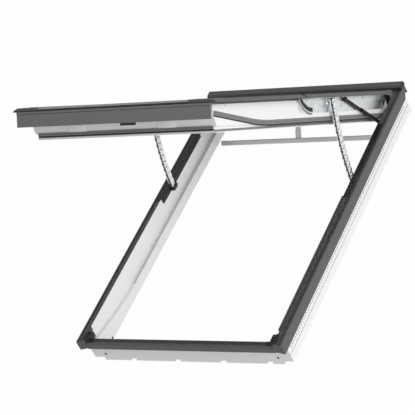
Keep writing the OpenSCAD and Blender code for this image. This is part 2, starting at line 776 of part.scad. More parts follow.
module control_bar() {
    color("darkgray") hung() {
        along_x(-bar_l / 2, bar_l / 2) {
            translate([-bar_pos - bar_d / 2 + 3, bar_top - bar_h]) square([bar_d - 6, bar_h]);
            translate([-bar_pos - bar_d / 2, bar_top - bar_h + 3]) square([bar_d, bar_h - 6]);
            for (s = [-1, 1], k = [0, 1])
                translate([-bar_pos + s * (bar_d / 2 - 3), bar_top - 3 - k * (bar_h - 6)]) circle(r = 3);
        }
        pin(-11, 11, -bar_pos, lug_n, 5);
        pin(-7, 7, -bar_pos, lug_n, 9);
        translate([-7, -bar_pos - 3, bar_top - 1]) cube([14, 6, lug_n - bar_top + 1]);
        translate([-10, -bar_pos - 3, bar_top - 1]) cube([20, 6, lug_n - bar_top - 7]);
    }
}

left_jamb();
right_jamb();
sill_rail();
head_rail();
left_jamb_cladding();
right_jamb_cladding();
sill_cladding();
head_hood();
left_hood_cap();
right_hood_cap();
left_corner_key();
right_corner_key();
left_frame_gasket();
right_frame_gasket();
left_drive_housing();
right_drive_housing();
left_chain_guide();
right_chain_guide();
left_hinge_bracket();
right_hinge_bracket();
left_strut_foot();
right_strut_foot();
left_lift_arm();
right_lift_arm();
left_hinge_pin();
right_hinge_pin();
left_pivot_plate();
right_pivot_plate();
left_chain_anchor();
right_chain_anchor();
left_arm_cover();
right_arm_cover();
sash_left_stile();
sash_right_stile();
sash_top_rail();
sash_bottom_rail();
outer_pane();
inner_pane();
glass_spacer();
glazing_gasket();
glass_edge_strip();
sash_top_cover();
left_sash_cover();
right_sash_cover();
left_cover_cap();
right_cover_cap();
sash_front_plate();
left_sash_gasket();
right_sash_gasket();
bottom_gasket();
lock_tab();
left_pivot_pin();
right_pivot_pin();
control_bar();
left_strut_cylinder();
right_strut_cylinder();
left_strut_rod();
right_strut_rod();
left_chain();
right_chain();
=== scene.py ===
"""Finishes, chains, seals, fasteners and stage for a top-hung roof window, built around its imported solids."""

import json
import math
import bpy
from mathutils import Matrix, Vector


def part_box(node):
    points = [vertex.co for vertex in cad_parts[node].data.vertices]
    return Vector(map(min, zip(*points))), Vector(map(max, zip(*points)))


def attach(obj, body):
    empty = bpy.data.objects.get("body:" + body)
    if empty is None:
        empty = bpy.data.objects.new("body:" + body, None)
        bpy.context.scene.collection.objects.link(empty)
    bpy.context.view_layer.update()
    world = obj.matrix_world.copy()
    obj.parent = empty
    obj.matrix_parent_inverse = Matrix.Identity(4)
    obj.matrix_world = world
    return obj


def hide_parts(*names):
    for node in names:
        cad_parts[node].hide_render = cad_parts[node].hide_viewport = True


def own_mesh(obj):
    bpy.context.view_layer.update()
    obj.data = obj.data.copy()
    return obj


bl_info = {
    "name": "Roof window dressing",
    "version": (1, 0, 0),
    "blender": (4, 5, 0),
    "location": "View3D > Sidebar > Roof window",
    "description": "Finishes, push chains, seals, fasteners and stage of a top-hung roof window",
    "category": "Object",
}

import bmesh
import bpy
from mathutils import Matrix, Vector

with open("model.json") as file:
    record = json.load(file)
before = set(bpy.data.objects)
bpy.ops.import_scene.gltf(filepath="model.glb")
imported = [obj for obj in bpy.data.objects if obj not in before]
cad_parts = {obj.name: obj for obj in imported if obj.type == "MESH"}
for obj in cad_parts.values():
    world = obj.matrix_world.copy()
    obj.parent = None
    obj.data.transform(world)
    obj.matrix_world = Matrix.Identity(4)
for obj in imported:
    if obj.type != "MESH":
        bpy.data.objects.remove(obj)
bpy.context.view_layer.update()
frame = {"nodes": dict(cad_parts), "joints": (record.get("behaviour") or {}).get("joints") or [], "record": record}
NODES = frame["nodes"]
JOINTS = {joint["name"]: joint for joint in frame["joints"]}
SLOT_OF = {part["node"]: part["material_slot"] for part in frame["record"]["subparts"]}
SIDES = {"left": -1, "right": 1}
MM = 0.001

# Hinge coordinates: x across, y = -(distance below the hinge), z = height above the closed sash's hinge line
HINGE = Vector(JOINTS["top_hinge"]["pos_m"])
OPEN = -math.radians(JOINTS["top_hinge"]["range_deg"][0])
HUNG = Matrix.Translation(HINGE) @ Matrix.Rotation(-OPEN, 4, "X")


def hung_box(node):
    """Lowest and highest corner of a sash or arm node in hinge coordinates."""
    back = HUNG.inverted()
    points = [back @ v.co for v in NODES[node].data.vertices]
    return (Vector(map(min, zip(*points))), Vector(map(max, zip(*points))))


SASH_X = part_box("sash_right_stile")[1].x
ARM_FACE_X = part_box("right_lift_arm")[1].x
JAMB_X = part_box("right_jamb")[1].x
JAMB_IN_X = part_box("right_jamb")[0].x
SILL_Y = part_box("left_jamb")[0].y
SASH_END = hung_box("sash_right_stile")[0].y


class RoofWindowColours(bpy.types.PropertyGroup):
    """Base colours of the finishes."""

    def shade(name, text, default):
        return bpy.props.FloatVectorProperty(
            name=name, description=text, subtype="COLOR", size=3, min=0, max=1, default=default
        )

    white_coat: shade("White coat", "Coat of the frame and sash members", (0.84, 0.84, 0.83))
    cladding: shade("Cladding", "Lacquer of the aluminium sheets", (0.094, 0.094, 0.097))
    # Painted light: the same lacquer as the cladding, made lighter for the light that falls on the front plate
    front: shade("Front plate", "Lacquer of the sash's front plate", (0.182, 0.182, 0.19))
    black: shade("Black plastic", "Moulded caps, keys and drives", (0.018, 0.018, 0.019))
    zinc: shade("Zinc", "Plated arms, brackets and pins", (0.74, 0.76, 0.77))
    chain: shade("Chain", "Plated push chains", (0.80, 0.83, 0.83))
    grey_rubber: shade("Grey rubber", "Seals of the sash and frame", (0.2, 0.199, 0.196))
    pale_rubber: shade("Pale rubber", "Seals on the steps of the frame", (0.54, 0.54, 0.535))
    # Black rubber also paints shade: the seal lips, the glass edge seal, the hood strip, the front plate line and
    # the cladding beads stand for shadow lines
    black_rubber: shade("Black rubber", "Glazing seal, beads and lips", (0.016, 0.016, 0.016))
    glass: shade("Glass", "Tint of the panes", (0.93, 0.97, 0.96))
    pale_metal: shade("Pale metal", "Edge strip and spacer", (0.28, 0.285, 0.285))
    bar: shade("Bar", "Anodised control bar", (0.44, 0.44, 0.445))
    strut: shade("Strut", "Lacquer of the gas struts", (0.009, 0.009, 0.01))


class RoofWindowSizes(bpy.types.PropertyGroup):
    """Sizes of the pieces that are added to the solids."""

    def length(name, text, default):
        return bpy.props.FloatProperty(
            name=name, description=text, default=default, min=0.0001, unit="LENGTH", precision=4
        )

    links: bpy.props.IntProperty(name="Links", description="Links of each open chain", default=26, min=4)
    plate: length("Link plate", "Thickness of a link plate", 1.8 * MM)
    link_height: length("Link height", "Height of an outer link", 19 * MM)
    chain_width: length("Chain width", "Width of a chain over its rivets", 14 * MM)
    chain_bow: length("Chain bow", "How far an open chain bows down the slope", 14 * MM)
    seal_height: length("Seal height", "How far a side seal stands off the stile", 3 * MM)
    screw: length("Screw head", "Diameter of a screw head", 7.5 * MM)
    slot_pitch: length("Slot pitch", "Spacing of the slots along each jamb", 13 * MM)


class RoofWindowStage(bpy.types.PropertyGroup):
    """Floor, lights and camera."""

    def value(name, text, default, **limits):
        return bpy.props.FloatProperty(name=name, description=text, default=default, **limits)

    floor_drop: value("Floor drop", "Height of the floor below the frame", 0.8, unit="LENGTH")
    ambient: value("Ambient", "Light from all round", 0.33, min=0)
    key: value("Key", "Light from the right", 180, unit="POWER")
    fill: value("Fill", "Light from the front left", 27, unit="POWER")
    lens: value("Lens", "Focal length in millimetres", 186.675)


# Node helpers

# Colour sockets of a Mix node
MIX_A, MIX_B, MIX_RESULT = 6, 7, 2
# Noise scales of a finish's drift, gloss and rubbed spots, and the spread of its gloss
DRIFT_SCALE, GLOSS_SCALE, RUB_SCALE, GLOSS_SPREAD = 7.0, 45.0, 60.0, 0.05
# Wear: its reach, its brightness, and the cosine of a softened edge's turn where it starts and is full
RUB_REACH, RUB_BRIGHT, RUB_START, RUB_FULL = 0.0016, 2.4, 0.995, 0.80
# How fast the painted shade in the gaps of a finish deepens
GAP_SHADE_CURVE = 1.6


def feed(tree, node, inputs):
    """Sets or links inputs of a node."""
    for key, value in inputs.items():
        if isinstance(value, bpy.types.NodeSocket):
            tree.links.new(value, node.inputs[key])
        else:
            node.inputs[key].default_value = value


def put(tree, kind, inputs=None, **settings):
    """A new node with its settings and its inputs."""
    node = tree.nodes.new(kind)
    for key, value in settings.items():
        setattr(node, key, value)
    feed(tree, node, inputs or {})
    return node


def maths(tree, operation, a, b):
    """Result of a sum on two values."""
    return put(tree, "ShaderNodeMath", {0: a, 1: b}, operation=operation).outputs["Value"]


def noise(tree, place, scale, detail):
    """Outputs of a noise texture."""
    return put(tree, "ShaderNodeTexNoise", {"Vector": place, "Scale": scale, "Detail": detail}).outputs


def mixed(tree, share, a, b):
    """Colour a, turning into colour b as the share goes from 0 to 1."""
    node = put(tree, "ShaderNodeMix", {"Factor": share, MIX_A: a, MIX_B: b}, data_type="RGBA")
    return node.outputs[MIX_RESULT]


def ranged(tree, value, low, high, start=0.0, stop=1.0):
    """A value that goes from low to high as the given one goes from start to stop."""
    ends = {"Value": value, "From Min": start, "From Max": stop, "To Min": low, "To Max": high}
    return put(tree, "ShaderNodeMapRange", ends).outputs["Result"]


def tinted(color, share):
    return (*[min(1.0, c * share) for c in color], 1.0)


def new_finish(name):
    """An empty finish under its slot's name, in place of the plain one that came with the solids."""
    plain = bpy.data.materials.get(name)
    if plain:
        bpy.data.materials.remove(plain)
    made = bpy.data.materials.new(name)
    made.use_nodes = True
    return made


def rubbed(tree, place, wear):
    """Share of wear, in patches along the edges."""
    edge = put(tree, "ShaderNodeBevel", {"Radius": RUB_REACH}, samples=4).outputs["Normal"]
    true_normal = put(tree, "ShaderNodeNewGeometry").outputs["Normal"]
    facing = put(tree, "ShaderNodeVectorMath", {0: edge, 1: true_normal}, operation="DOT_PRODUCT")
    rub = ranged(tree, facing.outputs["Value"], 0.0, wear, RUB_START, RUB_FULL)
    return maths(tree, "MULTIPLY", rub, noise(tree, place, RUB_SCALE, 4.0)["Fac"])


def finish(name, color, rough, grain, height, metallic=0.0, drift=0.04, stretch=(1, 1, 1), wear=0.0,
           round_off=0.0006, shine=0.5):
    """A finish with slow colour drift, uneven gloss, fine grain, softened edges and light wear along them."""
    made = new_finish(name)
    tree = made.node_tree
    place = put(tree, "ShaderNodeTexCoord").outputs["Object"]
    grained = put(tree, "ShaderNodeMapping", {"Vector": place, "Scale": stretch}).outputs["Vector"]
    slow = noise(tree, grained, DRIFT_SCALE, 3.0)["Fac"]
    shade = mixed(tree, slow, tinted(color, 1 - drift), tinted(color, 1 + drift))
    soft = put(tree, "ShaderNodeBevel", {"Radius": round_off}, samples=4).outputs["Normal"]
    if wear:
        shade = mixed(tree, rubbed(tree, place, wear), shade, tinted(color, RUB_BRIGHT))
    dull = noise(tree, grained, GLOSS_SCALE, 4.0)["Fac"]
    gloss = ranged(tree, dull, rough - GLOSS_SPREAD, rough + GLOSS_SPREAD)
    fine = noise(tree, grained, grain, 2.0)["Fac"]
    bump = put(tree, "ShaderNodeBump", {"Height": fine, "Distance": height, "Normal": soft})
    feed(tree, tree.nodes["Principled BSDF"], {
        "Base Color": shade, "Roughness": gloss, "Normal": bump.outputs["Normal"], "Metallic": metallic,
        "Specular IOR Level": shine})
    return made


def spangled(name, color, rough, cell):
    """Plated steel whose crystals differ a little in brightness and gloss."""
    made = finish(name, color, rough, metallic=1.0, drift=0.03, grain=1400.0, height=0.00001)
    tree = made.node_tree
    place = put(tree, "ShaderNodeTexCoord").outputs["Object"]
    warp = noise(tree, place, cell * 1.5, 3.0)["Color"]
    shift = put(tree, "ShaderNodeVectorMath", {0: warp, "Scale": 0.6 / cell}, operation="SCALE")
    bent = put(tree, "ShaderNodeVectorMath", {0: place, 1: shift.outputs["Vector"]}, operation="ADD")
    cells = put(tree, "ShaderNodeTexVoronoi", {"Vector": bent.outputs["Vector"], "Scale": cell})
    tone = put(tree, "ShaderNodeSeparateColor", {"Color": cells.outputs["Color"]}).outputs["Red"]
    feed(tree, tree.nodes["Principled BSDF"], {
        "Base Color": mixed(tree, tone, tinted(color, 0.88), tinted(color, 1.08)),
        "Roughness": ranged(tree, tone, rough - 0.07, rough + 0.09)})
    return made


def paint_gap_shade(made, color, reach):
    """Painted shade in the gaps of a finish, where other surfaces lie within reach."""
    tree = made.node_tree
    target = tree.nodes["Principled BSDF"].inputs["Base Color"]
    unshaded = target.links[0].from_socket
    open_share = put(tree, "ShaderNodeAmbientOcclusion", {"Distance": reach}, samples=8).outputs["AO"]
    share = maths(tree, "POWER", open_share, GAP_SHADE_CURVE)
    tree.links.new(mixed(tree, share, (*color, 1), unshaded), target)


def clear_glass(name, color):
    """Float glass with a faint ripple."""
    made = new_finish(name)
    tree = made.node_tree
    place = put(tree, "ShaderNodeTexCoord").outputs["Object"]
    ripple = noise(tree, place, 3.0, 1.0)["Fac"]
    bump = put(tree, "ShaderNodeBump", {"Height": ripple, "Distance": 0.0002, "Strength": 0.3})
    feed(tree, tree.nodes["Principled BSDF"], {
        "Base Color": (*color, 1), "Roughness": 0.01, "IOR": 1.45, "Transmission Weight": 1.0,
        "Normal": bump.outputs["Normal"]})


def paint(slot):
    return bpy.data.materials[slot]


# Mesh helpers

# Angles from which an edge is bevelled and is shaded crisp
SOFTENED, CRISP = 0.5, math.radians(38)


def skirt(bm, a, b):
    """Faces between two rings with equal numbers of points."""
    for k in range(len(a)):
        j = (k + 1) % len(a)
        bm.faces.new((a[k], a[j], b[j], b[k]))


def prism(bm, outline, w0, w1, place):
    """A closed prism: an outline in (u, v), from w0 to w1, put in place by a function of (u, v, w)."""
    low = [bm.verts.new(place(u, v, w0)) for u, v in outline]
    high = [bm.verts.new(place(u, v, w1)) for u, v in outline]
    bm.faces.new(low[::-1])
    bm.faces.new(high)
    skirt(bm, low, high)


def turned(bm, profile, steps, place):
    """A closed solid of revolution: a profile of (radius, height) that starts and ends on the axis."""
    rings = []
    angles = [2 * math.pi * k / steps for k in range(steps)]
    for r, h in profile:
        spots = [(r * math.cos(a), r * math.sin(a)) for a in angles] if r else [(0, 0)]
        rings.append([bm.verts.new(place(u, v, h)) for u, v in spots])
    for a, b in zip(rings, rings[1:]):
        for k in range(steps):
            j = (k + 1) % steps
            loop = [a[k % len(a)], a[j % len(a)], b[j % len(b)], b[k % len(b)]]
            bm.faces.new(list(dict.fromkeys(loop)))


def swept(bm, sections):
    """A closed skin over a row of sections with equal numbers of points."""
    rings = [[bm.verts.new(p) for p in section] for section in sections]
    for a, b in zip(rings, rings[1:]):
        skirt(bm, a, b)
    bm.faces.new(rings[0][::-1])
    bm.faces.new(rings[-1])


def soften(bm, offset):
    """Bevels every edge sharper than about 30 degrees."""
    bmesh.ops.recalc_face_normals(bm, faces=bm.faces)
    sharp = [e for e in bm.edges if len(e.link_faces) == 2 and e.calc_face_angle() > SOFTENED]
    bmesh.ops.bevel(bm, geom=sharp, offset=offset, segments=2, profile=0.5, affect="EDGES",
                    clamp_overlap=True)


def mesh_of(bm, name):
    """The finished mesh of a bmesh, with smooth faces and crisp edges."""
    bmesh.ops.recalc_face_normals(bm, faces=bm.faces)
    mesh = bpy.data.meshes.new(name)
    bm.to_mesh(mesh)
    bm.free()
    mesh.polygons.foreach_set("use_smooth", [True] * len(mesh.polygons))
    mesh.set_sharp_from_angle(angle=CRISP)
    return mesh


def new_object(name, mesh):
    made = bpy.data.objects.new(name, mesh)
    bpy.context.scene.collection.objects.link(made)
    return made


def piece(bm, name, slot, body):
    """A finished piece in its place, with its finish, on the body that carries it."""
    made = new_object(name, mesh_of(bm, name))
    made.data.materials.append(paint(slot))
    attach(made, body)
    return made


def arc(centre, radius, start, end, steps):
    """Points of an arc in a plane, angles in degrees."""
    angles = [math.radians(start + (end - start) * k / steps) for k in range(steps + 1)]
    return [(centre[0] + radius * math.cos(a), centre[1] + radius * math.sin(a)) for a in angles]


def stadium(length, radius, steps):
    """Outline of a bar with round ends, its ends' centres on the u axis at 0 and length."""
    return arc((length, 0), radius, -90, 90, steps) + arc((0, 0), radius, 90, 270, steps)


def rounded(u0, u1, v0, v1, r, steps=4):
    """Outline of a rectangle with round corners."""
    corners = ((u1 - r, v1 - r), (u0 + r, v1 - r), (u0 + r, v0 + r), (u1 - r, v0 + r))
    return [p for k, corner in enumerate(corners) for p in arc(corner, r, 90 * k, 90 * (k + 1), steps)]


def moved(outline, u0, v0):
    """An outline given in millimetres from the point (u0, v0)."""
    return [(u0 + u * MM, v0 + v * MM) for u, v in outline]


# Places for a prism: functions of its outline's u and v and of its run w


def along_x(u, v, w):
    """A run across the window, with u along y and v up."""
    return Vector((w, u, v))


def along_y(sign):
    """A run down one side of the window, with u away from the middle and v up."""
    return lambda u, v, w: Vector((sign * u, w, v))


def off_side(sign, face):
    """A run outward from a side face, with u along y and v up."""
    return lambda u, v, w: Vector((sign * (face + w), u, v))


def upright(sign):
    """A run upward, with u away from the middle and v along y."""
    return lambda u, v, w: Vector((sign * u, v, w))


def on_sash(place):
    """A place in hinge coordinates."""
    return lambda u, v, w: HUNG @ place(u, v, w)


def bar(name, slot, body, outline, ends, place):
    """A piece of one prism."""
    bm = bmesh.new()
    prism(bm, outline, *ends, place)
    return piece(bm, name, slot, body)


# Geometry Nodes


def node_group(name, sockets):
    """An empty geometry tree with named inputs, its input node and its output node."""
    tree = bpy.data.node_groups.new(name, "GeometryNodeTree")
    tree.interface.new_socket("Geometry", in_out="INPUT", socket_type="NodeSocketGeometry")
    for label, kind in sockets:
        tree.interface.new_socket(label, in_out="INPUT", socket_type=f"NodeSocket{kind}")
    tree.interface.new_socket("Geometry", in_out="OUTPUT", socket_type="NodeSocketGeometry")
    return tree, put(tree, "NodeGroupInput").outputs, put(tree, "NodeGroupOutput")


def close_tree(tree, instances, given, end):
    """Ends a tree with real geometry in its finish."""
    real = put(tree, "GeometryNodeRealizeInstances", {"Geometry": instances})
    dressed = put(tree, "GeometryNodeSetMaterial", {"Geometry": real.outputs["Geometry"],
                                                    "Material": given["Finish"]})
    feed(tree, end, {"Geometry": dressed.outputs["Geometry"]})
    return tree


def laid(tree, shape, points, **more):
    """Copies of an object's shape on points."""
    info = put(tree, "GeometryNodeObjectInfo", {"Object": shape})
    where = {"Points": points, "Instance": info.outputs["Geometry"], **more}
    return put(tree, "GeometryNodeInstanceOnPoints", where).outputs["Instances"]


def chain_tree():
    """Outer and inner links in turn along a line."""
    tree, given, end = node_group("links_along_a_line", (
        ("Links", "Int"), ("Outer link", "Object"), ("Inner link", "Object"), ("Finish", "Material")))
    line = put(tree, "GeometryNodeMeshToCurve", {"Mesh": given["Geometry"]})
    stops = put(tree, "GeometryNodeCurveToPoints", {"Curve": line.outputs["Curve"], "Count": given["Links"]},
                mode="COUNT")
    turn = put(tree, "FunctionNodeAlignRotationToVector", {"Vector": stops.outputs["Tangent"]},
               axis="Y", pivot_axis="X")
    odd = maths(tree, "MODULO", put(tree, "GeometryNodeInputIndex").outputs["Index"], 2.0)
    even = put(tree, "FunctionNodeBooleanMath", {0: odd}, operation="NOT").outputs["Boolean"]
    both = put(tree, "GeometryNodeJoinGeometry")
    for label, chosen in (("Outer link", even), ("Inner link", odd)):
        links = laid(tree, given[label], stops.outputs["Points"], Selection=chosen,
                     Rotation=turn.outputs["Rotation"])
        tree.links.new(links, both.inputs["Geometry"])
    return close_tree(tree, both.outputs["Geometry"], given, end)


def fastener_tree():
    """One shape on each point, its axis along the point's facing, each turned by its own angle."""
    tree, given, end = node_group("fasteners_on_points", (
        ("Shape", "Object"), ("Scale", "Float"), ("Seed", "Int"), ("Finish", "Material")))
    points = put(tree, "GeometryNodeMeshToPoints", {"Mesh": given["Geometry"]})
    facing = put(tree, "GeometryNodeInputNamedAttribute", {"Name": "facing"}, data_type="FLOAT_VECTOR")
    turn = put(tree, "FunctionNodeAlignRotationToVector", {"Vector": facing.outputs["Attribute"]}, axis="Z")
    # Sockets 2 and 3 are the lowest and highest value of a random float, and output 1 is that float
    ends = {2: 0.0, 3: math.tau, "Seed": given["Seed"]}
    chance = put(tree, "FunctionNodeRandomValue", ends, data_type="FLOAT").outputs[1]
    spin = put(tree, "FunctionNodeAxisAngleToRotation", {"Axis": (0, 0, 1), "Angle": chance})
    turns = {"Rotation": turn.outputs["Rotation"], "Rotate By": spin.outputs["Rotation"]}
    both = put(tree, "FunctionNodeRotateRotation", turns, rotation_space="LOCAL")
    heads = laid(tree, given["Shape"], points.outputs["Points"], Rotation=both.outputs["Rotation"],
                 Scale=given["Scale"])
    return close_tree(tree, heads, given, end)


def row_tree():
    """One shape repeated in a straight row."""
    tree, given, end = node_group("shapes_in_a_row", (
        ("Count", "Int"), ("Start", "Vector"), ("Step", "Vector"), ("Shape", "Object"),
        ("Finish", "Material")))
    line = put(tree, "GeometryNodeMeshLine", {"Count": given["Count"], "Start Location": given["Start"],
                                              "Offset": given["Step"]})
    return close_tree(tree, laid(tree, given["Shape"], line.outputs["Mesh"]), given, end)


def grown(name, base, tree, values, slot, body):
    """The plain mesh that a tree makes of a base mesh, as a piece on its body."""
    made = new_object(name, base)
    layout = made.modifiers.new("layout", "NODES")
    layout.node_group = tree
    values = {**values, "Finish": paint(slot)}
    for socket in tree.interface.items_tree:
        if socket.name in values:
            layout[socket.identifier] = values[socket.name]
    bpy.context.view_layer.update()
    real = bpy.data.meshes.new_from_object(made.evaluated_get(bpy.context.evaluated_depsgraph_get()))
    made.modifiers.clear()
    made.data = real
    if not real.polygons:
        raise RuntimeError(f"{name} came out empty")
    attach(made, body)
    return made


def template(bm, name):
    return new_object(name, mesh_of(bm, name))


def drop(*objects):
    for made in objects:
        bpy.data.objects.remove(made)


# Operators


class Finishes(bpy.types.Operator):
    """Makes the finishes and gives every solid its own"""

    bl_idname = "roof_window.finishes"
    bl_label = "Finishes"

    # Solids, by the end of their names, that get another finish than their slot's. The front plate's is a lighter
    # copy of the cladding lacquer: painted light
    BETTER = {"frame_gasket": "pale_rubber", "cover_cap": "grey_cladding", "front_plate": "lit_front_cladding"}

    def execute(self, context):
        c = context.scene.roof_window_colours
        finish("white_coat", c.white_coat, 0.36, drift=0.015, grain=650.0, height=0.00003, round_off=0.0012)
        sheet = {"drift": 0.05, "grain": 1600.0, "height": 0.00003, "shine": 0.3}
        finish("grey_cladding", c.cladding, 0.5, wear=0.15, **sheet)
        # Lighter copy of the cladding lacquer, as painted light on the front plate
        finish("lit_front_cladding", c.front, 0.5, **sheet)
        finish("black_plastic", c.black, 0.48, drift=0.12, grain=1100.0, height=0.00006, wear=0.35,
               shine=0.25)
        spangled("galvanised_steel", c.zinc, 0.34, 90.0)
        # The chain gets painted shade in the gaps between its links, in the black plastic's colour
        paint_gap_shade(spangled("chain_steel", c.chain, 0.28, 400.0), c.black, 6 * MM)
        rubber = {"grain": 500.0, "height": 0.00005}
        finish("grey_rubber", c.grey_rubber, 0.62, drift=0.08, **rubber)
        finish("pale_rubber", c.pale_rubber, 0.62, drift=0.04, **rubber)
        finish("black_rubber", c.black_rubber, 0.6, drift=0.1, **rubber)
        clear_glass("glass", c.glass)
        drawn = {"grain": 1500.0, "height": 0.00001}
        finish("bright_aluminium", c.pale_metal, 0.45, metallic=0.5, stretch=(0.05, 1, 1), **drawn)
        finish("grey_aluminium", c.bar, 0.36, metallic=1.0, stretch=(0.04, 1, 1), **drawn)
        finish("strut_black", c.strut, 0.3, drift=0.1, grain=300.0, height=0.00001, shine=0.15)
        for name, node in NODES.items():
            node.data.materials.clear()
            node.data.materials.append(paint(self.BETTER.get(name.split("_", 1)[-1], SLOT_OF[name])))
        return {"FINISHED"}


class Chains(bpy.types.Operator):
    """Builds the push chains from riveted links"""

    bl_idname = "roof_window.chains"
    bl_label = "Push chains"

    LINE_STEPS = 120
    # Depth of a chain's end pins below the tops of its guide and of its anchor
    PIN_DEPTH = 8 * MM
    # Distance of the lowest pin from the guide's middle, down the slope
    EXIT_SHIFT = 2 * MM

    def execute(self, context):
        size = context.scene.roof_window_sizes
        tree = chain_tree()
        for side in SIDES:
            low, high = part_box(f"{side}_chain")
            across = (low.x + high.x) / 2
            exit_pin = self.end_pin(*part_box(f"{side}_chain_guide"), self.EXIT_SHIFT)
            anchor = self.end_pin(*hung_box(f"{side}_chain_anchor"), 0)
            start = Vector((across, *exit_pin))
            stop = HUNG @ Vector((across, *anchor))
            along = (stop - start).normalized()
            sideways = Vector((0, -along.z, along.y))
            pitch = (stop - start).length / size.links
            first, last = 0.5 / size.links, 1 - 0.5 / size.links
            spots = []
            for k in range(self.LINE_STEPS + 1):
                t = first + (last - first) * k / self.LINE_STEPS
                bow = size.chain_bow * math.sin(math.pi * t)
                spots.append(start + (stop - start) * t + sideways * bow)
            line = bpy.data.meshes.new(f"{side}_chain_line")
            line.from_pydata(spots, [(k, k + 1) for k in range(self.LINE_STEPS)], [])
            outer, inner = [self.link(size, pitch, kind) for kind in ("outer", "inner")]
            values = {"Links": size.links, "Outer link": outer, "Inner link": inner}
            made = grown(f"{side}_push_chain", line, tree, values, "chain_steel", "frame")
            drop(outer, inner)
            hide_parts(f"{side}_chain")
            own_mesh(made)
        return {"FINISHED"}

    def end_pin(self, low, high, shift):
        """Middle of an end pin in y and z, from the corners of the solid that holds it."""
        return ((low.y + high.y) / 2 - shift, high.z - self.PIN_DEPTH)

    def link(self, size, pitch, kind):
        """One link along y, its middle at the origin: two plates and the pins or rollers between them."""
        outer = kind == "outer"
        past_pin, rivet_head, inner_lower, chamfer = 5.6 * MM, 0.5 * MM, 0.4 * MM, 0.4 * MM
        half = size.link_height / 2 - (0 if outer else inner_lower)
        edge = size.chain_width / 2 - rivet_head - (0 if outer else size.plate)
        shape = rounded(-past_pin, pitch + past_pin, -half, half, 0.45 * half + 2 * MM)
        bm = bmesh.new()
        for s in (-1, 1):
            a, b = sorted((s * edge, s * (edge - size.plate)))
            prism(bm, shape, a, b, lambda u, v, w: Vector((w, u - pitch / 2, v)))
        soften(bm, 0.35 * MM)
        reach = size.chain_width / 2 if outer else edge - size.plate
        r = 2.6 * MM if outer else 4.2 * MM
        pin = [(0, -reach), (r * 0.7, -reach), (r, -reach + chamfer), (r, reach - chamfer), (r * 0.7, reach),
               (0, reach)]
        for end in (-pitch / 2, pitch / 2):
            turned(bm, pin, 12, lambda u, v, w: Vector((w, u + end, v)))
        return template(bm, f"{kind}_link")


